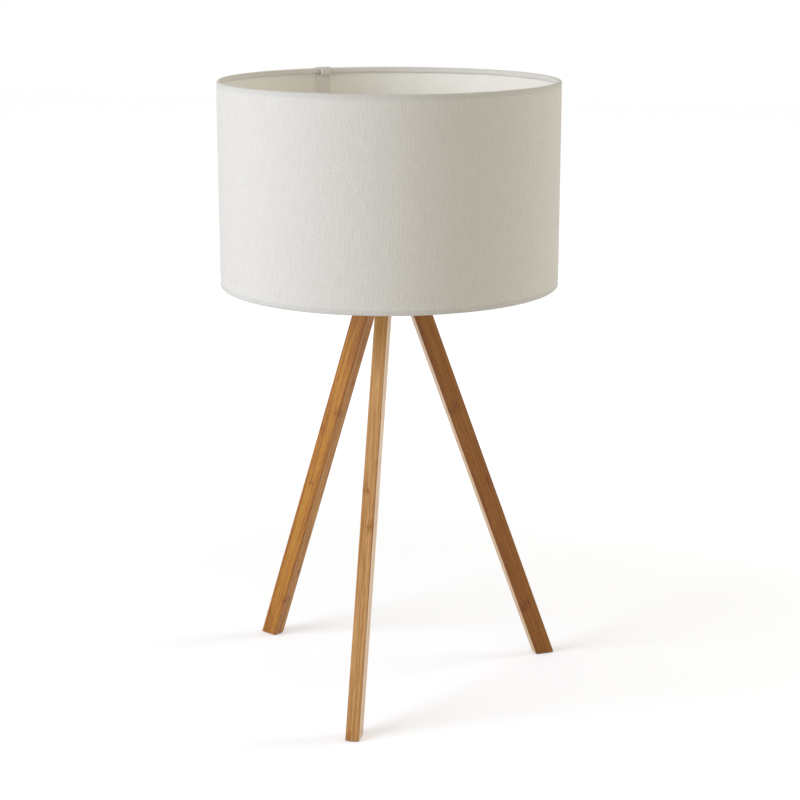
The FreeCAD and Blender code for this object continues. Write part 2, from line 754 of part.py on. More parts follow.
def make_bulb():
    """A slim tubular bulb, narrow enough for the shade's fitter ring to lift over it."""
    cap = "(cap_diameter / 2)"
    tip = "(tip_diameter / 2)"
    globe = "(bulb_diameter / 2)"
    tip_top = "(%s + tip_height)" % BULB_LEVEL
    flare_top = "(%s + collar_flare)" % COLLAR_LEVEL
    shoulder = "(%s - globe_dome)" % BULB_TOP
    turned("bulb_tip", [
        ("0", BULB_LEVEL),
        ("(%s - edge_break)" % tip, BULB_LEVEL),
        (tip, "(%s + edge_break)" % BULB_LEVEL),
        (tip, tip_top),
        ("0", tip_top),
    ])
    turned("bulb_insulator", [
        ("0", tip_top),
        ("(%s + edge_break)" % tip, tip_top),
        ("(%s - edge_break)" % cap, BULB_CAP_LEVEL),
        ("0", BULB_CAP_LEVEL),
    ])
    turned("bulb_cap", [
        ("0", BULB_CAP_LEVEL),
        (cap, BULB_CAP_LEVEL),
        (cap, COLLAR_LEVEL),
        ("0", COLLAR_LEVEL),
    ])
    turned("bulb_collar", [
        ("0", COLLAR_LEVEL),
        ("(%s + edge_break)" % cap, COLLAR_LEVEL),
        (globe, flare_top),
        (globe, GLOBE_LEVEL),
        ("0", GLOBE_LEVEL),
    ])
    turned("bulb_globe", [
        ("0", GLOBE_LEVEL),
        ("(%s - edge_break)" % globe, GLOBE_LEVEL),
        ("(%s - edge_break)" % globe, shoulder, 1,
         "(%s - edge_break - globe_dome)" % globe, shoulder),
        ("(%s - edge_break - globe_dome)" % globe, BULB_TOP),
        ("0", BULB_TOP),
    ])


def make_all():
    """Makes every sub-part."""
    make_shade_fabric()
    make_shade_liner()
    make_wire_ring("top_ring", TOP_FOLD)
    make_wire_ring("bottom_ring", BOTTOM_FOLD)
    for number in range(SPOKE_COUNT):
        make_spoke("spoke_%d" % (number + 1), FIRST_SPOKE_ANGLE + number * 360 / SPOKE_COUNT)
    make_fitter_ring()
    for number in range(LEG_COUNT):
        angle = FRONT_LEG_ANGLE + number * 360 / LEG_COUNT
        make_leg("leg_%d" % (number + 1), angle)
        make_foot_pad("foot_pad_%d" % (number + 1), angle)
    make_hub()
    make_leg_screws()
    make_inlet_bush()
    make_threaded_tube()
    make_top_plate()
    make_lock_washer()
    make_lock_nut()
    make_holder_base()
    make_holder_insert()
    make_terminal_screws()
    make_holder_sleeve()
    make_screw_shell()
    make_centre_contact()
    make_switch_bar()
    make_retaining_ring()
    make_bulb()


def check_all():
    """Stops if any object failed or any sub-part is not a valid solid."""
    for item in doc.Objects:
        if "Invalid" in item.State or "Error" in item.State:
            raise RuntimeError("%s failed: %s" % (item.Name, item.State))
    for body in sub_parts():
        if body.Shape.isNull() or not body.Shape.isValid() or not body.Shape.Solids:
            raise RuntimeError("%s has no valid solid" % body.Label)


def sub_parts():
    """Every body of the document."""
    return [item for item in doc.Objects if item.TypeId == "PartDesign::Body"]


fill_sheet()
make_all()
doc.recompute()
check_all()
os.makedirs("parts", exist_ok=True)
for part in sub_parts():
    part.Shape.exportStep("parts/%s.step" % part.Label)
    print("%-18s %d solid(s) %10.1f mm3" % (
        part.Label, len(part.Shape.Solids), part.Shape.Volume))
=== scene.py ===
"""Dresses the tripod table lamp: drum shade, bamboo legs, fittings, bulb and studio."""
import math
import random

import bpy
from mathutils import Euler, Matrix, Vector


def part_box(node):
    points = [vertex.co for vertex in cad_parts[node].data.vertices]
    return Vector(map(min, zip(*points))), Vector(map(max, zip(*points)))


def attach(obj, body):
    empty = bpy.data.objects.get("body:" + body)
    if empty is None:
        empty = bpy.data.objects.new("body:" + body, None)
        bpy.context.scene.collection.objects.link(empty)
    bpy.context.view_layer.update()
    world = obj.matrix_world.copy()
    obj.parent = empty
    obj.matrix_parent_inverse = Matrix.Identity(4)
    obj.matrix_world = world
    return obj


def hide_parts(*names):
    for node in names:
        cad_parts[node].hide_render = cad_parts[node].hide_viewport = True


bl_info = {
    "name": "Tripod Table Lamp",
    "version": (1, 0, 0),
    "blender": (4, 5, 0),
    "location": "3D View > Sidebar > Lamp",
    "description": "Builds the finish of a fabric drum shade lamp on three bamboo legs",
    "category": "Add Mesh",
}

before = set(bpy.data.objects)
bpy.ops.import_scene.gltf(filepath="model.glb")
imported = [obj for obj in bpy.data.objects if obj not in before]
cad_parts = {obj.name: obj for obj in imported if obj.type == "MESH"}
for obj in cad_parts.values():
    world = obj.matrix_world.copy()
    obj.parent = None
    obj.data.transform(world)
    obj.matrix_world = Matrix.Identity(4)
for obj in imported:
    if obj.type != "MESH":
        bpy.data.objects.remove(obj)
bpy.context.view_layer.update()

MM = 0.001

# Places read from the CAD parts, in metres.
SHADE_LOW, SHADE_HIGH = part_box("shade_fabric")
SHADE_RADIUS = round(SHADE_HIGH.x, 3)
SHADE_BOTTOM = SHADE_LOW.z
SHADE_TOP = SHADE_HIGH.z
SHADE_MIDDLE = (SHADE_TOP + SHADE_BOTTOM) / 2
SHADE_HALF = (SHADE_TOP - SHADE_BOTTOM) / 2
LINER_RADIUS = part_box("shade_liner")[1].x
SLEEVE_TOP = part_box("holder_sleeve")[1].z
CAP_LOW, CAP_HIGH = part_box("bulb_cap")
# leg_1 points along -Y, so its lowest corner gives the reach of all three legs.
LEG_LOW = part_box("leg_1")[0]

# Each leg: its direction from +X in degrees, the tone of its bamboo, how strongly its streaks
# stand out, which way its lit face looks, as out and across, how strongly that face is painted
# paler as a painted highlight, and how far up the leg each strip has a node, innermost strip
# first.
LEGS = {
    "leg_1": {"angle": -90, "tone": (0.92, 0.90, 0.96), "figure": 0.85,
              "lit_face": (0, 1), "highlight_strength": 0.6, "nodes": (120 * MM, 55 * MM, 213 * MM)},
    # leg_2's darker tone is partly darker wood and partly painted shade under the lampshade.
    "leg_2": {"angle": 30, "tone": (0.54, 0.37, 0.12), "figure": 0.8,
              "lit_face": (-1, 0), "highlight_strength": 0.6, "nodes": (52 * MM, 56 * MM, 190 * MM)},
    "leg_3": {"angle": 150, "tone": (0.75, 0.57, 0.14), "figure": 1.4,
              "lit_face": (-1, 0), "highlight_strength": 0.09, "nodes": (290 * MM, 209 * MM, 52 * MM)},
}

# The floor is seen with some white of its own: less up to NEAR_GROUND from the lamp's axis, so
# that the shadow shows, and more from FAR_GROUND on.
FLOOR_SIZE = 12.0
NEAR_GROUND = 0.35
FAR_GROUND = 1.0
NEAR_GLOW = 0.40
FAR_GLOW = 0.70
# Height on the lamp's axis that the soft boxes point at.
LAMP_AIM = 0.36


# ------------------------------------------------------------------ settings

class LampShadeSettings(bpy.types.PropertyGroup):
    """Sizes and colours of the shade."""
    fabric_thickness: bpy.props.FloatProperty(
        name="Fabric thickness", description="Thickness of the outer fabric",
        default=0.5 * MM, unit="LENGTH")
    hem_thickness: bpy.props.FloatProperty(
        name="Hem thickness", description="Across the fabric rolled round a wire ring",
        default=4.0 * MM, unit="LENGTH")
    hem_height: bpy.props.FloatProperty(
        name="Hem height", description="Height of the fabric turned in at each rim",
        default=4.8 * MM, unit="LENGTH")
    thread_pitch: bpy.props.FloatProperty(
        name="Thread pitch", description="Distance from thread to thread of the weave",
        default=0.55 * MM, unit="LENGTH")
    seam_angle: bpy.props.FloatProperty(
        name="Seam angle", description="Middle of the fabric's overlapped ends, from +X",
        default=math.radians(126.4), subtype="ANGLE")
    seam_width: bpy.props.FloatProperty(
        name="Seam width", description="Overlap of the fabric's two ends",
        default=14.5 * MM, unit="LENGTH")
    fabric_colour: bpy.props.FloatVectorProperty(
        name="Fabric colour", description="Off-white of the outer fabric",
        default=(0.76, 0.75, 0.722), subtype="COLOR", min=0, max=1)
    # Painted shade: the fabric outside the rims is painted greyer, as the doubled hem lets less
    # light through.
    hem_shade_tint: bpy.props.FloatVectorProperty(
        name="Hem tint", description="How much greyer the fabric is outside the rims",
        default=(0.905, 0.915, 0.92), subtype="COLOR", min=0, max=1)
    liner_colour: bpy.props.FloatVectorProperty(
        name="Liner colour", description="Cream of the stiff liner",
        default=(0.85, 0.842, 0.79), subtype="COLOR", min=0, max=1)
    # Painted shade: the strip inside the seam is painted darker, as the doubled fabric there
    # lets less light through.
    strip_shade_tint: bpy.props.FloatVectorProperty(
        name="Seam strip tint", description="How much darker the strip inside the seam is",
        default=(0.87, 0.865, 0.86), subtype="COLOR", min=0, max=1)


class LampLegSettings(bpy.types.PropertyGroup):
    """Sizes and colours of the bamboo legs and their pads."""
    lean: bpy.props.FloatProperty(
        name="Lean", description="Lean of a leg from the vertical",
        default=math.radians(20.25), subtype="ANGLE")
    depth: bpy.props.FloatProperty(
        name="Depth", description="Across a leg, square to its length",
        default=17.0 * MM, unit="LENGTH")
    width: bpy.props.FloatProperty(
        name="Width", description="Across a leg's narrow faces",
        default=12.0 * MM, unit="LENGTH")
    strips: bpy.props.IntProperty(
        name="Strips", description="Bamboo strips glued across the depth", default=3)
    node_spacing: bpy.props.FloatProperty(
        name="Node spacing", description="Distance between the nodes of one strip",
        default=214.0 * MM, unit="LENGTH")
    light_colour: bpy.props.FloatVectorProperty(
        name="Light bamboo", description="Colour between the fibres",
        default=(0.68, 0.40, 0.145), subtype="COLOR", min=0, max=1)
    dark_colour: bpy.props.FloatVectorProperty(
        name="Dark bamboo", description="Colour of the fibres and nodes",
        default=(0.38, 0.145, 0.026), subtype="COLOR", min=0, max=1)
    # Painted highlight: the colour that a leg's lit face is painted towards.
    highlight_colour: bpy.props.FloatVectorProperty(
        name="Pale bamboo", description="Colour between the fibres of a paler face",
        default=(0.90, 0.70, 0.46), subtype="COLOR", min=0, max=1)
    pad_colour: bpy.props.FloatVectorProperty(
        name="Pad", description="Brown of the pads under the feet",
        default=(0.10, 0.075, 0.055), subtype="COLOR", min=0, max=1)


class LampFittingSettings(bpy.types.PropertyGroup):
    """Colours and thread pitches of the metal and plastic fittings and the bulb."""
    plastic_colour: bpy.props.FloatVectorProperty(
        name="Plastic", description="White of the lampholder",
        default=(0.78, 0.78, 0.76), subtype="COLOR", min=0, max=1)
    paint_colour: bpy.props.FloatVectorProperty(
        name="Paint", description="White of the coated wire, hub and plate",
        default=(0.74, 0.73, 0.70), subtype="COLOR", min=0, max=1)
    brass_colour: bpy.props.FloatVectorProperty(
        name="Brass", description="Colour of the bare contacts",
        default=(0.78, 0.57, 0.26), subtype="COLOR", min=0, max=1)
    steel_colour: bpy.props.FloatVectorProperty(
        name="Steel", description="Colour of the plated tube, screws and nut",
        default=(0.56, 0.57, 0.58), subtype="COLOR", min=0, max=1)
    nickel_colour: bpy.props.FloatVectorProperty(
        name="Nickel", description="Colour of the bulb's screw cap",
        default=(0.66, 0.66, 0.65), subtype="COLOR", min=0, max=1)
    opal_colour: bpy.props.FloatVectorProperty(
        name="Opal", description="White of the bulb's frosted glass",
        default=(0.86, 0.86, 0.84), subtype="COLOR", min=0, max=1)
    glaze_colour: bpy.props.FloatVectorProperty(
        name="Glaze", description="Cream of the lampholder's ceramic insert",
        default=(0.80, 0.79, 0.74), subtype="COLOR", min=0, max=1)
    switch_colour: bpy.props.FloatVectorProperty(
        name="Switch", description="White of the push-through switch bar",
        default=(0.74, 0.74, 0.73), subtype="COLOR", min=0, max=1)
    collar_colour: bpy.props.FloatVectorProperty(
        name="Collar", description="White of the bulb's plastic collar",
        default=(0.82, 0.82, 0.81), subtype="COLOR", min=0, max=1)
    insulator_colour: bpy.props.FloatVectorProperty(
        name="Insulator", description="Black of the ring round the bulb's tip",
        default=(0.02, 0.02, 0.022), subtype="COLOR", min=0, max=1)
    thread_pitch: bpy.props.FloatProperty(
        name="Sleeve thread pitch", description="Pitch of the sleeve's coarse thread",
        default=3.0 * MM, unit="LENGTH")
    cap_pitch: bpy.props.FloatProperty(
        name="Cap thread pitch", description="Pitch of the bulb cap's rolled thread",
        default=3.6 * MM, unit="LENGTH")


class LampStageSettings(bpy.types.PropertyGroup):
    """Camera, floor and even light."""
    camera_azimuth: bpy.props.FloatProperty(
        name="Camera azimuth", description="Turn of the camera round the lamp, from -Y",
        default=math.radians(11.51), subtype="ANGLE")
    camera_distance: bpy.props.FloatProperty(
        name="Camera distance", description="Level distance from the lamp's axis",
        default=1.693, unit="LENGTH")
    camera_height: bpy.props.FloatProperty(
        name="Camera height", description="Height above the floor",
        default=0.6841, unit="LENGTH")
    camera_pitch: bpy.props.FloatProperty(
        name="Camera pitch", description="How far the camera looks down",
        default=math.radians(13.987), subtype="ANGLE")
    camera_yaw: bpy.props.FloatProperty(
        name="Camera yaw", description="How far the camera looks right of the lamp",
        default=math.radians(0.319), subtype="ANGLE")
    lens: bpy.props.FloatProperty(
        name="Lens", description="Focal length in millimetres", default=86.63)
    world_level: bpy.props.FloatProperty(
        name="World level", description="Strength of the even light", default=0.49)
    world_colour: bpy.props.FloatVectorProperty(
        name="World colour", description="Warm tone of the even light",
        default=(1.0, 0.895, 0.685), subtype="COLOR", min=0, max=1)
    floor_colour: bpy.props.FloatVectorProperty(
        name="Floor", description="White of the floor",
        default=(0.88, 0.88, 0.88), subtype="COLOR", min=0, max=1)
    glow_colour: bpy.props.FloatVectorProperty(
        name="Floor glow", description="Cool tone of the white that the floor is seen with",
        default=(0.79, 0.86, 1.0), subtype="COLOR", min=0, max=1)


# ------------------------------------------------------------------ materials

class Nodes:
    """Builds a material's or world's node tree; inputs may be numbers, colours or sockets."""

    def __init__(self, owner, output="ShaderNodeOutputMaterial"):
        owner.use_nodes = True
        self.owner = owner
        self.tree = owner.node_tree
        self.tree.nodes.clear()
        self.output = self.tree.nodes.new(output)

    def add(self, kind, inputs=(), **settings):
        """Adds a node; inputs maps an input's name or number to a value or socket."""
        made = self.tree.nodes.new(kind)
        for name, setting in settings.items():
            setattr(made, name, setting)
        for key, given in dict(inputs).items():
            self.feed(made.inputs[key], given)
        return made

    def feed(self, socket, given):
        """Links a socket, or sets a constant."""
        if isinstance(given, bpy.types.NodeSocket):
            self.tree.links.new(given, socket)
        elif hasattr(given, "__len__") and len(given) == 3 and len(socket.default_value) == 4:
            socket.default_value = (*given, 1.0)
        else:
            socket.default_value = given

    def math(self, operation, first, second=0.0, third=0.0):
        """One arithmetic step."""
        made = self.add("ShaderNodeMath", {0: first, 1: second, 2: third},
                        operation=operation)
        return made.outputs[0]

    def clamp(self, value, low, high):
        """A value kept between two limits."""
        return self.math("MINIMUM", self.math("MAXIMUM", value, low), high)

    def step(self, amount, low, high, out_low=0.0, out_high=1.0):
        """A smooth ramp between two values."""
        made = self.add("ShaderNodeMapRange", {
            "Value": amount, "From Min": low, "From Max": high,
            "To Min": out_low, "To Max": out_high}, interpolation_type="SMOOTHSTEP")
        return made.outputs[0]

    def noise(self, vector, scale=1.0, detail=2.0, roughness=0.5):
        """Smooth noise from 0 to 1."""
        made = self.add("ShaderNodeTexNoise", {
            "Vector": vector, "Scale": scale, "Detail": detail, "Roughness": roughness})
        return made.outputs["Fac"]

    def luck(self, vector):
        """The node of a random number and colour for each vector."""
        return self.add("ShaderNodeTexWhiteNoise", {"Vector": vector}, noise_dimensions="3D")

    def vector(self, x, y, z=0.0):
        """Three numbers as a vector."""
        return self.add("ShaderNodeCombineXYZ", {0: x, 1: y, 2: z}).outputs[0]

    def split(self, vector):
        """A vector's three parts."""
        return self.add("ShaderNodeSeparateXYZ", {0: vector}).outputs

    def place(self):
        """The position on the lamp, in metres."""
        return self.add("ShaderNodeTexCoord").outputs["Object"]

    def moved(self, vector, rotation, location=(0, 0, 0)):
        """A position turned, then shifted."""
        return self.add("ShaderNodeMapping", {
            "Vector": vector, "Rotation": rotation, "Location": location},
            vector_type="POINT").outputs[0]

    def from_axis(self):
        """Distance from the lamp's axis, in metres."""
        flat = self.add("ShaderNodeVectorMath", {0: self.place(), 1: (1.0, 1.0, 0.0)},
                        operation="MULTIPLY")
        return self.add("ShaderNodeVectorMath", {0: flat.outputs[0]},
                        operation="LENGTH").outputs["Value"]

    def blend(self, amount, first, second, mode="MIX"):
        """Mixes two colours."""
        made = self.add("ShaderNodeMix", {0: amount, 6: first, 7: second},
                        data_type="RGBA", blend_type=mode)
        return made.outputs[2]

    def toned(self, colour, tone):
        """A colour made lighter or darker by a factor."""
        return self.blend(1.0, colour, self.vector(tone, tone, tone), "MULTIPLY")

    def bump(self, height, distance, strength=1.0, normal=None):
        """A surface relief of a height from 0 to 1 over a distance in metres."""
        inputs = {"Height": height, "Distance": distance, "Strength": strength}
        if normal is not None:
            inputs["Normal"] = normal
        return self.add("ShaderNodeBump", inputs).outputs[0]

    def seen_directly(self):
        """1 for camera, glossy and transmission rays, else 0."""
        rays = self.add("ShaderNodeLightPath").outputs
        seen = self.math("MAXIMUM", rays["Is Camera Ray"], rays["Is Glossy Ray"])
        return self.math("MAXIMUM", seen, rays["Is Transmission Ray"])

    def choose(self, amount, first, second):
        """Ends the tree in one of two shaders."""
        choice = self.add("ShaderNodeMixShader", {
            0: amount, 1: first.outputs[0], 2: second.outputs[0]})
        self.tree.links.new(choice.outputs[0], self.output.inputs[0])

    def finish(self, **inputs):
        """Ends the tree in a surface shader and returns the material."""
        shader = self.add("ShaderNodeBsdfPrincipled", {
            name.replace("_", " "): given for name, given in inputs.items()})
        self.tree.links.new(shader.outputs[0], self.output.inputs[0])
        return self.owner


def new_material(name):
    """The node tree of a new material."""
    return Nodes(bpy.data.materials.new(name))


def tinted(colour, tint):
    """A colour times a tint, channel by channel."""
    return [part * share for part, share in zip(colour, tint)]


def round_the_shade(nodes, start):
    """Distance round the shade's wall, which jumps at the angle start, and height."""
    x, y, z = nodes.split(nodes.moved(nodes.place(), (0, 0, math.pi - start)))
    return nodes.math("MULTIPLY", nodes.math("ARCTAN2", y, x), SHADE_RADIUS), z


def cloth_noise(nodes, across, up, width, height, shift=0.0, detail=2.0):
    """Noise whose patches have a width round the shade and a height."""
    return nodes.noise(nodes.vector(
        nodes.math("DIVIDE", across, width), nodes.math("DIVIDE", up, height), shift),
        detail=detail)


def thread_relief(nodes, place, along, pitch, seed):
    """Relief of rounded threads side by side, uneven and slubbed, and each thread's number."""
    count = nodes.math("DIVIDE", place, pitch)
    number = nodes.math("FLOOR", count)
    luck = nodes.luck(nodes.vector(number, seed)).outputs["Value"]
    swell = nodes.noise(nodes.vector(
        nodes.math("MULTIPLY", number, 7.31), nodes.math("DIVIDE", along, 9 * MM), seed),
        detail=1.0)
    slub = nodes.step(swell, 0.58, 0.78)
    round_thread = nodes.math("ABSOLUTE", nodes.math(
        "SINE", nodes.math("MULTIPLY", count, math.pi)))
    body = nodes.math("MULTIPLY_ADD", luck, 0.45, 0.55)
    body = nodes.math("MULTIPLY_ADD", slub, 0.9, body)
    return nodes.math("MULTIPLY", round_thread, body), number


def weave_relief(nodes, across, up, pitch):
    """Plain weave: warp and weft threads cross over and under in turn."""
    warp, column = thread_relief(nodes, across, up, pitch, 1.7)
    weft, row = thread_relief(nodes, up, across, pitch * 1.08, 5.3)
    over = nodes.math("PINGPONG", nodes.math("ADD", column, row), 1.0)
    under = nodes.math("SUBTRACT", 1.0, over)
    warp_part = nodes.math("MULTIPLY", warp, nodes.math("MULTIPLY_ADD", over, 0.7, 0.3))
    weft_part = nodes.math("MULTIPLY", weft, nodes.math("MULTIPLY_ADD", under, 0.5, 0.1))
    return nodes.math("MAXIMUM", warp_part, weft_part)


def hem_shade_band(nodes, up):
    """1 outside both rims, as far down as the fabric is doubled, else 0: where the fabric is
    painted greyer as shade.
    """
    from_middle = nodes.math("ABSOLUTE", nodes.math("SUBTRACT", up, SHADE_MIDDLE))
    near_rim = nodes.step(from_middle, SHADE_HALF - 5.4 * MM, SHADE_HALF - 3.8 * MM)
    outside = nodes.step(nodes.from_axis(), SHADE_RADIUS - 2.4 * MM, SHADE_RADIUS - 0.8 * MM)
    return nodes.math("MULTIPLY", near_rim, outside)


def fabric_material(settings):
    """Off-white plain weave with uneven threads, painted shade in the hollows between them, and
    a greyer hem painted as the shade of the doubled fabric.
    """
    nodes = new_material("shade_fabric_weave")
    start = settings.seam_angle + settings.seam_width / 2 / SHADE_RADIUS
    across, up = round_the_shade(nodes, start)
    weave = weave_relief(nodes, across, up, settings.thread_pitch)
    streak = cloth_noise(nodes, across, up, 1.5 * MM, 13 * MM, detail=1.5)
    lump = cloth_noise(nodes, across, up, 1.15 * MM, 1.7 * MM, shift=4.0, detail=1.0)
    tone = nodes.math("MULTIPLY_ADD", streak, 0.15, 0.925)
    tone = nodes.math("MULTIPLY", tone, nodes.step(lump, 0.30, 0.75, 0.98, 1.03))
    # Painted shade: lighter on the threads' crowns, darker in the hollows between them.
    tone = nodes.math("MULTIPLY", tone, nodes.math("MULTIPLY_ADD", weave, 0.14, 0.93))
    colour = nodes.toned(settings.fabric_colour, tone)
    # Painted shade: the hem band is painted greyer, for the doubled fabric letting less light
    # through.
    hem_shaded = nodes.blend(1.0, colour, settings.hem_shade_tint, "MULTIPLY")
    colour = nodes.blend(hem_shade_band(nodes, up), colour, hem_shaded)
    normal = nodes.bump(weave, 0.16 * MM, 0.8)
    normal = nodes.bump(streak, 0.22 * MM, 1.0, normal)
    normal = nodes.bump(lump, 0.27 * MM, 1.0, normal)
    return nodes.finish(Base_Color=colour, Roughness=0.92, Normal=normal,
                        Sheen_Weight=0.22, Sheen_Roughness=0.6, Specular_IOR_Level=0.25)


def liner_material(name, settings, colour):
    """Stiff liner with the weave showing faintly through."""
    nodes = new_material(name)
    across, up = round_the_shade(nodes, settings.seam_angle)
    weave = weave_relief(nodes, across, up, settings.thread_pitch)
    cloud = cloth_noise(nodes, across, up, 30 * MM, 30 * MM, detail=4.0)
    fibre = cloth_noise(nodes, across, up, 1.2 * MM, 18 * MM)
    tone = nodes.math("MULTIPLY_ADD", cloud, 0.06, 0.95)
    tone = nodes.math("MULTIPLY", tone, nodes.math("MULTIPLY_ADD", fibre, 0.05, 0.98))
    normal = nodes.bump(nodes.math("ADD", weave, cloud), 0.03 * MM, 0.5)
    return nodes.finish(Base_Color=nodes.toned(colour, tone), Roughness=0.55, Normal=normal,
                        Specular_IOR_Level=0.4)


def along_leg(nodes, settings, angle):
    """Place in a leg's own frame: out through its depth, across, and up its length."""
    cosine = math.cos(settings.lean)
    sine = math.sin(settings.lean)
    foot = abs(LEG_LOW.y) - settings.depth / 2 / cosine
    shift = (-foot * cosine - LEG_LOW.z * sine, 0, foot * sine - LEG_LOW.z * cosine)
    turned = nodes.moved(nodes.place(), (0, 0, -math.radians(angle)))
    return nodes.split(nodes.moved(turned, (0, settings.lean, 0), shift))


def bamboo_grain(nodes, place, size, length, shift, detail=2.0):
    """Noise drawn out along a leg."""
    deep, wide, long = place
    return nodes.noise(nodes.vector(
        nodes.math("DIVIDE", deep, size), nodes.math("DIVIDE", wide, size),
        nodes.math("ADD", nodes.math("DIVIDE", long, length), shift)), detail=detail)


def bamboo_node_gap(nodes, settings, place, strip, leg, seed):
    """Distance along the leg to the strip's nearest node, which isn't quite level."""
    wander = 9.0 * MM
    stagger = -32 * MM
    wide, long = place[1:]
    bent = nodes.math("MULTIPLY_ADD", bamboo_grain(nodes, place, 4.0 * MM, 60 * MM, seed),
                      wander, long)
    heights = leg["nodes"]
    knot = heights[0] + wander / 2
    for number in range(1, len(heights)):
        knot = nodes.math("MULTIPLY_ADD", nodes.math("GREATER_THAN", strip, number - 0.5),
                          heights[number] - heights[number - 1], knot)
    knot = nodes.math("MULTIPLY_ADD", nodes.math("GREATER_THAN", wide, 0.0), stagger, knot)
    past = nodes.math("DIVIDE", nodes.math("SUBTRACT", bent, knot), settings.node_spacing)
    near = nodes.math("SUBTRACT", nodes.math("FRACT", nodes.math("ADD", past, 0.5)), 0.5)
    return nodes.math("ABSOLUTE", nodes.math("MULTIPLY", near, settings.node_spacing))


def bamboo_streaks(nodes, place, luck, leg, seed, own):
    """How dark the fibres make each place, and the streaks alone; own shifts each strip's."""
    streak = nodes.step(bamboo_grain(nodes, place, 1.05 * MM, 75 * MM, own, 3.0), 0.42, 0.62)
    dash = nodes.step(bamboo_grain(nodes, place, 0.55 * MM, 10 * MM, own), 0.48, 0.62)
    broad = nodes.step(bamboo_grain(nodes, place, 5.0 * MM, 130 * MM, seed * 3.1), 0.35, 0.68)
    dark = nodes.math("MULTIPLY_ADD", streak, 0.62, nodes.math("MULTIPLY", dash, 0.34))
    dark = nodes.math("MULTIPLY_ADD", broad, 0.20, dark)
    dark = nodes.math("MULTIPLY_ADD", luck, 0.14, nodes.math("SUBTRACT", dark, 0.47))
    return nodes.math("MULTIPLY_ADD", dark, leg["figure"], 0.34), streak


def bamboo_glue(nodes, settings, strip_place, deep):
    """1 on the glue lines between the strips, else 0."""
    from_strip = nodes.math("SUBTRACT", nodes.math("FRACT", strip_place), 0.5)
    edge = nodes.step(nodes.math("ABSOLUTE", from_strip), 0.46, 0.495)
    inner = nodes.math("LESS_THAN", nodes.math("ABSOLUTE", deep),
                       settings.depth / 2 - 1.5 * MM)
    return nodes.math("MULTIPLY", edge, inner)


def bamboo_arris(nodes, settings, deep, wide):
    """1 along the leg's four long edges, else 0."""
    near = []
    for place, size in ((deep, settings.depth), (wide, settings.width)):
        near.append(nodes.step(nodes.math("ABSOLUTE", place), size / 2 - 1.1 * MM,
                               size / 2 - 0.3 * MM))
    return nodes.math("MULTIPLY", *near)


def bamboo_material(name, settings, leg, seed):
    """Laminated bamboo: glued strips, reddish streaks, soft nodes, satin lacquer, a painted
    highlight on the lit face and painted shade along the long edges.
    """
    nodes = new_material(name)
    light = tinted(settings.light_colour, leg["tone"])
    dark = tinted(settings.dark_colour, leg["tone"])
    place = along_leg(nodes, settings, leg["angle"])
    deep, wide = place[:2]
    strip_place = nodes.math("DIVIDE", nodes.math("ADD", deep, settings.depth / 2),
                             settings.depth / settings.strips)
    strip = nodes.math("FLOOR", nodes.clamp(strip_place, 0.5, settings.strips - 0.5))
    luck = nodes.split(nodes.luck(nodes.vector(strip, seed, seed * 0.37)).outputs["Color"])
    own = nodes.math("MULTIPLY_ADD", luck[1], 40.0, seed)
    darkness, streak = bamboo_streaks(nodes, place, luck[0], leg, seed, own)

    gap = bamboo_node_gap(nodes, settings, place, strip, leg, seed)
    cloud = nodes.step(gap, 1.0 * MM, 9.0 * MM, 1.0, 0.0)
    line = nodes.step(gap, 0.3 * MM, 2.0 * MM, 1.0, 0.0)
    patchy = nodes.step(bamboo_grain(nodes, place, 1.6 * MM, 5 * MM, own), 0.32, 0.55)
    knot = nodes.math("ADD", nodes.math("MULTIPLY", cloud, 0.45),
                      nodes.math("MULTIPLY", line, 0.50))
    darkness = nodes.math("MULTIPLY_ADD", knot, patchy, darkness)
    darkness = nodes.clamp(darkness, 0.0, 1.0)
    colour = nodes.blend(darkness, light, dark)

    # Painted highlight: the face that the light falls on is painted paler.
    outward, sideways = leg["lit_face"]
    reach = nodes.math("MULTIPLY_ADD", deep, outward, nodes.math("MULTIPLY", wide, sideways))
    half = (settings.depth if outward else settings.width) / 2
    painted_highlight = nodes.math("MULTIPLY", nodes.step(reach, half - 0.35 * MM, half - 0.05 * MM),
                      leg["highlight_strength"])
    colour = nodes.blend(painted_highlight, colour, nodes.blend(
        darkness, settings.highlight_colour, settings.light_colour))

    glue = bamboo_glue(nodes, settings, strip_place, deep)
    # Painted shade: the long edges are painted darker, most beside the lit face; the glue lines
    # are real dark joints.
    edge_shade_weight = nodes.step(reach, half - 1.6 * MM, half - 0.9 * MM, 0.12, 0.6)
    arris = nodes.math("MULTIPLY", bamboo_arris(nodes, settings, deep, wide), edge_shade_weight)
    edges = nodes.math("MAXIMUM", nodes.math("MULTIPLY", glue, 0.3), arris)
    colour = nodes.blend(edges, colour, [0.7 * part for part in dark])

    relief = nodes.math("MULTIPLY_ADD", cloud, 0.8, nodes.math("MULTIPLY", streak, 0.5))
    relief = nodes.math("SUBTRACT", relief, nodes.math("MULTIPLY", glue, 0.5))
    rough = nodes.math("MULTIPLY_ADD", streak, 0.12, 0.38)
    return nodes.finish(Base_Color=colour, Roughness=rough,
                        Normal=nodes.bump(relief, 0.12 * MM, 0.5),
                        Coat_Weight=0.45, Coat_Roughness=0.25, Specular_IOR_Level=0.15)


def moulded_material(name, colour, roughness=0.38, grain=0.02 * MM):
    """Moulded plastic or coated metal with a fine skin and slight handling marks."""
    nodes = new_material(name)
    place = nodes.place()
    skin = nodes.noise(place, 900.0)
    rub = nodes.noise(place, 90.0, detail=5.0, roughness=0.65)
    shade = nodes.toned(colour, nodes.math("MULTIPLY_ADD", rub, 0.08, 0.95))
    rough = nodes.math("MULTIPLY_ADD", rub, 0.2, roughness - 0.1)
    return nodes.finish(Base_Color=shade, Roughness=rough, Normal=nodes.bump(skin, grain, 0.6))


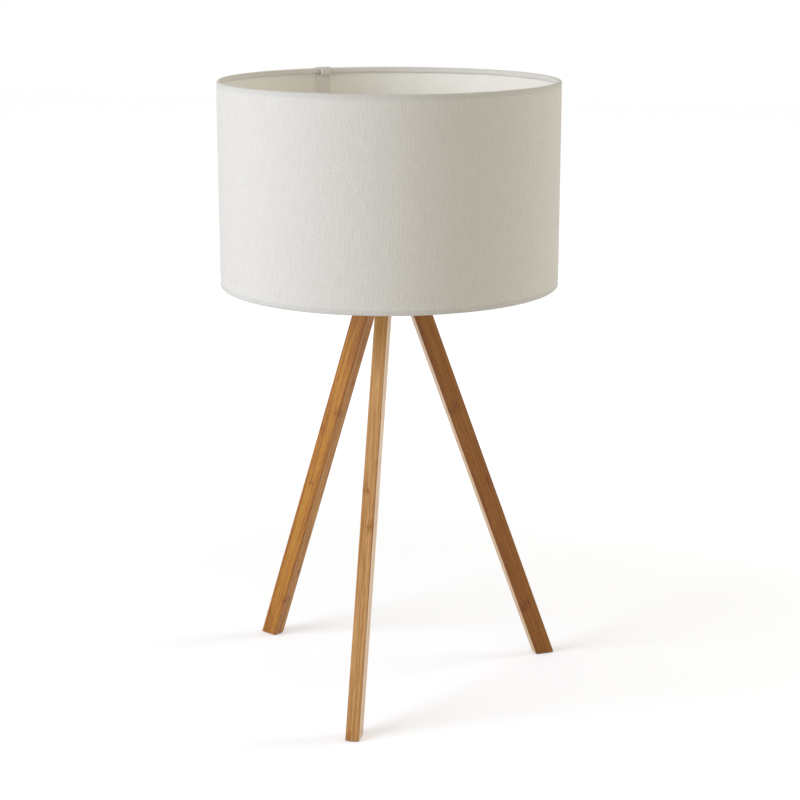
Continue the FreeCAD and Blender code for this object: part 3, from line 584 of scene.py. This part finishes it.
def turned_metal_material(name, colour, roughness=0.28):
    """Machined metal with fine turning lines about the lamp's axis and a few scuffs."""
    nodes = new_material(name)
    place = nodes.place()
    fineness = 9000
    line = nodes.noise(nodes.vector(nodes.math("MULTIPLY", nodes.from_axis(), fineness),
                                    nodes.math("MULTIPLY", nodes.split(place)[2], fineness)),
                       detail=1.0)
    scuff = nodes.noise(place, 160.0, detail=4.0, roughness=0.7)
    shade = nodes.toned(colour, nodes.math("MULTIPLY_ADD", scuff, 0.22, 0.86))
    rough = nodes.math("MULTIPLY_ADD", scuff, 0.25, roughness - 0.1)
    return nodes.finish(Base_Color=shade, Roughness=rough, Metallic=1.0,
                        Normal=nodes.bump(line, 0.015 * MM, 0.5))


def opal_material(colour):
    """Frosted opal glass of the unlit bulb."""
    nodes = new_material("bulb_opal")
    mottle = nodes.noise(nodes.place(), 400.0, detail=3.0)
    shade = nodes.toned(colour, nodes.math("MULTIPLY_ADD", mottle, 0.04, 0.96))
    rough = nodes.math("MULTIPLY_ADD", mottle, 0.1, 0.3)
    return nodes.finish(Base_Color=shade, Roughness=rough, Coat_Weight=0.3,
                        Coat_Roughness=0.15)


# ------------------------------------------------------------------ pieces

def new_piece(name, mesh, material, body):
    """A finished piece that rides on a body."""
    piece = bpy.data.objects.new(name, mesh)
    bpy.context.scene.collection.objects.link(piece)
    mesh.materials.append(material)
    mesh.shade_smooth()
    mesh.set_sharp_from_angle(angle=math.radians(40))
    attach(piece, body)
    return piece


def dress(node, material):
    """Gives a carried-over part its finish."""
    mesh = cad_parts[node].data
    mesh.materials.clear()
    mesh.materials.append(material)


def new_mesh(name, verts, faces):
    """A mesh from its points and faces."""
    mesh = bpy.data.meshes.new(name)
    mesh.from_pydata(verts, [], faces)
    mesh.update()
    return mesh


def on_circle(radius, angle, height):
    """The point at a radius, an angle and a height round the lamp's axis."""
    return (radius * math.cos(angle), radius * math.sin(angle), height)


def band_faces(size, first, second):
    """Faces between two closed rings of points, which start at first and second."""
    faces = []
    for place in range(size):
        along = (place + 1) % size
        faces.append((first + place, second + place, second + along, first + along))
    return faces


# ------------------------------------------------------------------ shade

def wave(angle, seed, size):
    """A smooth closed wander round the shade, from a few seeded harmonics."""
    dice = random.Random(seed)
    total = 0.0
    for harmonic in (2, 3, 5, 8, 13, 21):
        total += math.sin(harmonic * angle + dice.uniform(0, math.tau)) / harmonic ** 0.7
    return size * total / 2.2


def arc_points(centre_radius, centre_height, size, first, last, count):
    """Points of an arc in the profile plane, angles in degrees."""
    points = []
    for number in range(count + 1):
        angle = math.radians(first + (last - first) * number / count)
        points.append((centre_radius + size * math.cos(angle),
                       centre_height + size * math.sin(angle)))
    return points


def tuck_points(start, end, count):
    """From the roll's inner side straight down, then round a tight curve to the liner."""
    points = []
    for number in range(count + 1):
        angle = math.pi / 2 * number / count
        out = 1 - math.cos(angle) ** 0.5
        along = math.sin(angle) ** 0.5
        points.append((start[0] + (end[0] - start[0]) * out,
                       start[1] + (end[1] - start[1]) * along))
    return points


def hem_points(settings, way):
    """Section of a rim from the wall over the wire to the liner, and back inside it.

    way is 1 at the top rim and -1 at the bottom one.
    """
    cloth = settings.fabric_thickness
    roll = settings.hem_thickness / 2
    middle = SHADE_RADIUS - roll
    edge = SHADE_TOP if way > 0 else SHADE_BOTTOM
    centre = edge - way * roll
    lip = LINER_RADIUS - 0.45 * MM
    end = edge - way * settings.hem_height
    inner = middle - roll
    outside = arc_points(middle, centre, roll, 0, 180 * way, 12)
    outside += tuck_points((inner, centre), (lip - cloth, end), 6)[1:]
    inside = arc_points(middle, centre, roll - cloth, 0, 180 * way, 8)
    inside += tuck_points((inner + cloth, centre), (lip, end + way * cloth), 5)[1:]
    return outside, inside


def cut_height(settings):
    """Height that the fabric was cut to: the wall, and the roll and tuck at each rim."""
    outside = hem_points(settings, 1)[0]
    rim = sum(math.dist(first, second) for first, second in zip(outside, outside[1:]))
    return SHADE_TOP - SHADE_BOTTOM - settings.hem_thickness + 2 * rim


def shade_profile(settings):
    """Section of the fabric: outer wall, rolled rims, lips turned in on the liner."""
    roll = settings.hem_thickness / 2
    top = SHADE_TOP - roll
    low = SHADE_BOTTOM + roll
    rows = 22
    heights = [low + (top - low) * row / rows for row in range(1, rows)]
    near = [hollow * MM for hollow in (0.7, 1.3, 1.9, 2.5, 3.1, 3.8, 5.2)]
    heights = [low + step for step in near] + heights + [top - step for step in near[::-1]]
    top_outside, top_inside = hem_points(settings, 1)
    low_outside, low_inside = hem_points(settings, -1)
    wall = [(SHADE_RADIUS, height) for height in heights]
    back = [(SHADE_RADIUS - settings.fabric_thickness, height) for height in reversed(heights)]
    return wall + top_outside + top_inside[::-1] + back + low_inside + low_outside[::-1]


def wall_angles(seam):
    """Even angles round the shade, and two close together where the overlap steps down."""
    count = 360
    half_gap = 0.2 * MM / SHADE_RADIUS
    angles = [seam + math.tau * (number + 0.5) / count for number in range(count)]
    angles += [seam - half_gap, seam + half_gap]
    return sorted(angle % math.tau for angle in angles)


def drape(settings, seam, angle, radius, height):
    """Moves a point of the drum to where the uneven, overlapped cloth has it."""
    lap_height = 0.45 * MM
    groove_place = 4.2 * MM
    groove_width = 1.3 * MM
    groove_depth = 0.22 * MM
    past = (angle - seam) % math.tau
    spread = settings.seam_width / SHADE_RADIUS
    upright = (height - SHADE_MIDDLE) / SHADE_HALF
    below_rim = SHADE_HALF - abs(height - SHADE_MIDDLE)
    outside = radius > SHADE_RADIUS - settings.hem_thickness / 2
    radius += wave(angle, 3, 0.10 * MM) * (1 - upright ** 4) + wave(angle, 5, 0.05 * MM)
    if outside:
        if past < spread:
            radius += lap_height * (1 - past / spread)
        radius -= groove_depth * math.exp(-((below_rim - groove_place) / groove_width) ** 2)
    if below_rim < 3 * MM:
        height += wave(angle, 7 if upright > 0 else 11, 0.10 * MM)
    elif not outside:
        height += wave(angle * 3, 13 if upright > 0 else 17, 0.25 * MM)
    return radius, height


def make_shade_cover(settings, material):
    """The outer fabric as one sheet with its overlap seam."""
    profile = shade_profile(settings)
    size = len(profile)
    seam = settings.seam_angle + settings.seam_width / 2 / SHADE_RADIUS
    angles = wall_angles(seam)
    verts = []
    faces = []
    for turn, angle in enumerate(angles):
        for place in profile:
            radius, height = drape(settings, seam, angle, *place)
            verts.append(on_circle(radius, angle, height))
        faces += band_faces(size, turn * size, (turn + 1) % len(angles) * size)
    mesh = new_mesh("shade_cover", verts, faces)
    piece = new_piece("shade_cover", mesh, material, "shade")
    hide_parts("shade_fabric")
    return piece


def square_to(path):
    """Directions square to a (radius, height) line at each of its points."""
    normals = []
    for row in range(len(path)):
        before = Vector(path[max(row - 1, 0)])
        after = Vector(path[min(row + 1, len(path) - 1)])
        along = (after - before).normalized()
        normals.append(Vector((-along.y, along.x)))
    return normals


def strip_faces(columns, rows):
    """Faces of a thin closed slab of two layers of points, column by column."""
    faces = []
    layer = (columns + 1) * rows
    for column in range(columns):
        for row in range(rows - 1):
            a = column * rows + row
            b = a + rows
            faces.append((a, b, b + 1, a + 1))
            faces.append((layer + a + 1, layer + b + 1, layer + b, layer + a))
    for row in range(rows - 1):
        a = row
        b = columns * rows + row
        faces.append((a, a + 1, layer + a + 1, layer + a))
        faces.append((b + 1, b, layer + b, layer + b + 1))
    for column in range(columns):
        a = column * rows
        b = a + rows
        faces.append((b, a, layer + a, layer + b))
        faces.append((a + rows - 1, b + rows - 1, layer + b + rows - 1, layer + a + rows - 1))
    return faces


def strip_mesh(name, centre_angle, width, path, thickness, lift=None):
    """A narrow strip along a (radius, height) line.

    lift(share) raises it where it is a share of its width, -0.5 to 0.5, from its middle.
    """
    columns = 10
    normals = square_to(path)
    verts = []
    for side in (0, 1):
        for column in range(columns + 1):
            share = column / columns - 0.5
            angle = centre_angle + share * width / SHADE_RADIUS
            rise = thickness * side + (lift(share) if lift else 0.0)
            for place, normal in zip(path, normals):
                radius, height = Vector(place) + normal * rise
                verts.append(on_circle(radius, angle, height))
    return new_mesh(name, verts, strip_faces(columns, len(path)))


def fold_ridge(share):
    """Height, from 0 to 1, of the doubled edge across a tail's width."""
    return math.exp(-((share - 0.42) / 0.07) ** 2)


def make_seam_strip(settings, material):
    """The doubled strip inside the wall."""
    inside = LINER_RADIUS - 0.5 * MM
    top = SHADE_TOP - settings.hem_height
    low = SHADE_BOTTOM + settings.hem_height
    rows = 24
    path = [(inside, low + (top - low) * row / rows) for row in range(rows + 1)]
    strip = strip_mesh("seam_strip", settings.seam_angle, settings.seam_width, path, 0.2 * MM)
    new_piece("seam_strip", strip, material, "shade")


def make_seam_ends(settings, fabric, side, way):
    """The seam's end folded over one rim, and its tail tucked in behind the roll.

    way is 1 at the top rim and -1 at the bottom one.
    """
    cloth = 0.5 * MM
    centre = settings.seam_angle
    width = settings.seam_width
    roll = settings.hem_thickness / 2
    edge = SHADE_TOP if way > 0 else SHADE_BOTTOM
    over = arc_points(SHADE_RADIUS - roll, edge - way * roll, roll + 0.12 * MM,
                      20 * way, 180 * way, 14)
    tab = strip_mesh("seam_tab_" + side, centre, width, over, -way * cloth,
                     lambda share: -way * 0.35 * MM)
    new_piece("seam_tab_" + side, tab, fabric, "shade")
    end = (LINER_RADIUS - 1.1 * MM, edge - way * (settings.hem_height + 0.9 * MM))
    tuck = tuck_points(over[-1], end, 6)
    tail = strip_mesh("seam_tail_" + side, centre - 0.14 * width / SHADE_RADIUS, 0.72 * width,
                      over[-5:] + tuck[1:], -way * 0.45 * MM,
                      lambda share: -way * (cloth + 0.7 * MM * fold_ridge(share)))
    new_piece("seam_tail_" + side, tail, fabric, "shade")


# ------------------------------------------------------------------ threads

def make_thread(name, low, high, radius, rise, pitch):
    """A helical ridge round the lamp's axis, closed at its two ends."""
    root = -0.1 * MM
    # The ridge's section: out from the radius, and up as a share of the pitch.
    section = [(root, -0.36), (0.55 * rise, -0.24), (rise, -0.08), (rise, 0.08),
               (0.55 * rise, 0.24), (root, 0.36)]
    size = len(section)
    per_turn = 72
    steps = int((high - low) / pitch * per_turn)
    verts = []
    faces = []
    for step in range(steps + 1):
        fade = min(1.0, step / per_turn * 4, (steps - step) / per_turn * 4)
        for out, up in section:
            reach = radius + (out if out < 0 else out * fade)
            height = low + pitch * (step / per_turn + up)
            verts.append(on_circle(reach, math.tau * step / per_turn, height))
    for step in range(steps):
        faces += band_faces(size, step * size, (step + 1) * size)
    faces.append(tuple(range(size - 1, -1, -1)))
    faces.append(tuple(steps * size + place for place in range(size)))
    return new_mesh(name, verts, faces)


def make_bulb_cap(low, high, radius, pitch):
    """A rolled screw cap: a closed drum whose wall rises and falls along a helix."""
    depth = 0.75 * MM
    taper = 0.4 * MM
    columns = 96
    rows = 70
    verts = []
    faces = []
    for row in range(rows + 1):
        share = row / rows
        height = low + (high - low) * share
        fade = min(1.0, share * 9, (1 - share) * 6)
        for column in range(columns):
            angle = math.tau * column / columns
            turn = math.tau * height / pitch - angle
            dip = depth * (0.5 - 0.5 * math.cos(turn)) * fade
            verts.append(on_circle(radius - dip - (1 - fade) * taper, angle, height))
    for row in range(rows):
        faces += [face[::-1] for face in band_faces(columns, row * columns, (row + 1) * columns)]
    faces.append(tuple(range(columns - 1, -1, -1)))
    faces.append(tuple(rows * columns + column for column in range(columns)))
    return new_mesh("bulb_screw_cap", verts, faces)


# ------------------------------------------------------------------ stage

def make_floor(settings):
    """A wide white floor that still takes the lamp's shadow."""
    half = FLOOR_SIZE / 2
    corners = [(-half, -half, 0), (half, -half, 0), (half, half, 0), (-half, half, 0)]
    mesh = new_mesh("floor", corners, [(0, 1, 2, 3)])
    floor = bpy.data.objects.new("floor", mesh)
    bpy.context.scene.collection.objects.link(floor)
    nodes = new_material("floor_white")
    glow = nodes.step(nodes.from_axis(), NEAR_GROUND, FAR_GROUND, NEAR_GLOW, FAR_GLOW)
    matte = nodes.add("ShaderNodeBsdfDiffuse", {"Color": settings.floor_colour})
    light = nodes.add("ShaderNodeEmission", {"Color": settings.glow_colour, "Strength": glow})
    both = nodes.add("ShaderNodeAddShader", {0: matte.outputs[0], 1: light.outputs[0]})
    nodes.choose(nodes.seen_directly(), matte, both)
    mesh.materials.append(nodes.owner)


def make_world(settings):
    """Even light, white where it is seen directly or reflected."""
    world = bpy.data.worlds.new("studio")
    bpy.context.scene.world = world
    nodes = Nodes(world, "ShaderNodeOutputWorld")
    soft = nodes.add("ShaderNodeBackground", {
        "Color": settings.world_colour, "Strength": settings.world_level})
    white = nodes.add("ShaderNodeBackground", {"Color": (1.0, 1.0, 1.0)})
    nodes.choose(nodes.seen_directly(), soft, white)


def make_soft_box(name, azimuth, height, distance, size, power, colour):
    """A rectangular soft box; azimuth is in degrees from the camera's side, right positive."""
    light = bpy.data.lights.new(name, "AREA")
    light.shape = "RECTANGLE"
    light.size, light.size_y = size
    light.energy = power
    light.color = colour
    lamp = bpy.data.objects.new(name, light)
    bpy.context.scene.collection.objects.link(lamp)
    turn = bpy.context.scene.lamp_stage.camera_azimuth + math.radians(azimuth)
    lamp.location = (distance * math.sin(turn), -distance * math.cos(turn), height)
    toward = Vector((0, 0, LAMP_AIM)) - lamp.location
    lamp.rotation_euler = toward.to_track_quat("-Z", "Y").to_euler()


def make_lights():
    """A broad key from the left and a weaker edge light from the right."""
    make_soft_box("key", azimuth=-62, height=1.2, distance=2.2, size=(1.4, 1.2), power=37.5,
                  colour=(0.81, 0.865, 1.0))
    make_soft_box("edge", azimuth=104, height=0.88, distance=2.0, size=(0.8, 1.0), power=12.5,
                  colour=(0.97, 0.98, 1.0))


def make_camera(settings):
    """The camera where the photograph was taken from."""
    camera = bpy.data.objects.new("camera", bpy.data.cameras.new("camera"))
    bpy.context.scene.collection.objects.link(camera)
    turn = settings.camera_azimuth
    distance = settings.camera_distance
    camera.location = (distance * math.sin(turn), -distance * math.cos(turn),
                       settings.camera_height)
    camera.rotation_euler = Euler(
        (math.pi / 2 - settings.camera_pitch, 0, turn - settings.camera_yaw))
    camera.data.sensor_width = 36
    camera.data.lens = settings.lens
    bpy.context.scene.camera = camera


# ------------------------------------------------------------------ operators

class LAMP_OT_shade(bpy.types.Operator):
    """Makes the shade's fabric and seam, and finishes its liner"""
    bl_idname = "lamp.shade"
    bl_label = "Shade"

    def execute(self, context):
        settings = context.scene.lamp_shade
        fabric = fabric_material(settings)
        cover = make_shade_cover(settings, fabric)
        cut_height(settings)
        # The seam strip's satin is painted darker with the strip's shade tint.
        make_seam_strip(settings, liner_material(
            "seam_strip_satin", settings, tinted(settings.liner_colour, settings.strip_shade_tint)))
        make_seam_ends(settings, fabric, "top", 1)
        make_seam_ends(settings, fabric, "bottom", -1)
        dress("shade_liner", liner_material(
            "shade_liner_satin", settings, settings.liner_colour))
        return {"FINISHED"}


class LAMP_OT_carrier(bpy.types.Operator):
    """Finishes the wire rings, spokes and fitter ring"""
    bl_idname = "lamp.carrier"
    bl_label = "Carrier"

    def execute(self, context):
        paint = moulded_material("wire_coating", context.scene.lamp_fittings.paint_colour,
                                 roughness=0.4, grain=0.05 * MM)
        for node in ("top_ring", "bottom_ring", "spoke_1", "spoke_2", "spoke_3",
                     "fitter_ring"):
            dress(node, paint)
        return {"FINISHED"}


class LAMP_OT_legs(bpy.types.Operator):
    """Finishes the bamboo legs and their pads"""
    bl_idname = "lamp.legs"
    bl_label = "Legs"

    def execute(self, context):
        settings = context.scene.lamp_legs
        for number, (name, leg) in enumerate(LEGS.items(), start=1):
            dress(name, bamboo_material(name + "_bamboo", settings, leg, number * 1.7))
        felt = moulded_material("pad_felt", settings.pad_colour, roughness=0.9, grain=0.2 * MM)
        for node in ("foot_pad_1", "foot_pad_2", "foot_pad_3"):
            dress(node, felt)
        return {"FINISHED"}


class LAMP_OT_hub(bpy.types.Operator):
    """Finishes the hub, plate, tube and their fasteners"""
    bl_idname = "lamp.hub"
    bl_label = "Hub"

    def execute(self, context):
        fittings = context.scene.lamp_fittings
        paint = moulded_material("hub_coating", fittings.paint_colour, grain=0.06 * MM)
        steel = turned_metal_material("zinc_steel", fittings.steel_colour)
        for node in ("hub", "top_plate"):
            dress(node, paint)
        for node in ("leg_screws", "threaded_tube", "lock_washer", "lock_nut"):
            dress(node, steel)
        dress("cord_inlet_bush", moulded_material("bush_plastic", fittings.plastic_colour))
        return {"FINISHED"}


class LAMP_OT_holder(bpy.types.Operator):
    """Finishes the lampholder, its switch bar and its retaining ring"""
    bl_idname = "lamp.holder"
    bl_label = "Lampholder"

    def execute(self, context):
        fittings = context.scene.lamp_fittings
        plastic = moulded_material("holder_plastic", fittings.plastic_colour)
        brass = turned_metal_material("contact_brass", fittings.brass_colour)
        for node in ("holder_base", "holder_sleeve", "retaining_ring"):
            dress(node, plastic)
        for node in ("terminal_screws", "screw_shell", "centre_contact"):
            dress(node, brass)
        dress("holder_insert", moulded_material("insert_glaze", fittings.glaze_colour, 0.25))
        dress("switch_bar", moulded_material("switch_gloss", fittings.switch_colour, 0.2))
        turns = make_thread("sleeve_thread", low=SLEEVE_TOP - 24 * MM,
                            high=SLEEVE_TOP - 1.5 * MM, radius=19.45 * MM, rise=0.22 * MM,
                            pitch=fittings.thread_pitch)
        new_piece("sleeve_thread", turns, plastic, "stand")
        return {"FINISHED"}


class LAMP_OT_bulb(bpy.types.Operator):
    """Makes the bulb's threaded cap and finishes its glass and collar"""
    bl_idname = "lamp.bulb"
    bl_label = "Bulb"

    def execute(self, context):
        fittings = context.scene.lamp_fittings
        nickel = turned_metal_material("cap_nickel", fittings.nickel_colour, 0.22)
        cap = make_bulb_cap(CAP_LOW.z, CAP_HIGH.z, CAP_HIGH.x, fittings.cap_pitch)
        piece = new_piece("bulb_screw_cap", cap, nickel, "bulb")
        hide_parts("bulb_cap")
        dress("bulb_tip", nickel)
        dress("bulb_insulator", moulded_material(
            "cap_insulator", fittings.insulator_colour, 0.2))
        dress("bulb_collar", moulded_material("collar_plastic", fittings.collar_colour, 0.3))
        dress("bulb_globe", opal_material(fittings.opal_colour))
        return {"FINISHED"}


class LAMP_OT_stage(bpy.types.Operator):
    """Makes the floor, the light and the camera"""
    bl_idname = "lamp.stage"
    bl_label = "Stage"

    def execute(self, context):
        settings = context.scene.lamp_stage
        make_floor(settings)
        make_world(settings)
        make_lights()
        make_camera(settings)
        context.scene.view_settings.view_transform = "Standard"
        return {"FINISHED"}


class LAMP_PT_panel(bpy.types.Panel):
    """Lists the lamp's makers in the sidebar"""
    bl_idname = "LAMP_PT_panel"
    bl_label = "Tripod Table Lamp"
    bl_space_type = "VIEW_3D"
    bl_region_type = "UI"
    bl_category = "Lamp"

    def draw(self, context):
        for maker in MAKERS:
            self.layout.operator(maker.bl_idname)


SETTINGS = {
    "lamp_shade": LampShadeSettings,
    "lamp_legs": LampLegSettings,
    "lamp_fittings": LampFittingSettings,
    "lamp_stage": LampStageSettings,
}
MAKERS = (LAMP_OT_shade, LAMP_OT_carrier, LAMP_OT_legs, LAMP_OT_hub, LAMP_OT_holder,
          LAMP_OT_bulb, LAMP_OT_stage)


def register():
    """Registers the settings, operators and panel."""
    for name, group in SETTINGS.items():
        bpy.utils.register_class(group)
        setattr(bpy.types.Scene, name, bpy.props.PointerProperty(type=group))
    for maker in (*MAKERS, LAMP_PT_panel):
        bpy.utils.register_class(maker)


def unregister():
    """Takes them out again."""
    for maker in (LAMP_PT_panel, *reversed(MAKERS)):
        bpy.utils.unregister_class(maker)
    for name, group in SETTINGS.items():
        delattr(bpy.types.Scene, name)
        bpy.utils.unregister_class(group)


def main():
    """Builds everything."""
    register()
    bpy.ops.lamp.shade()
    bpy.ops.lamp.carrier()
    bpy.ops.lamp.legs()
    bpy.ops.lamp.hub()
    bpy.ops.lamp.holder()
    bpy.ops.lamp.bulb()
    bpy.ops.lamp.stage()


if __name__ == "__main__":
    main()
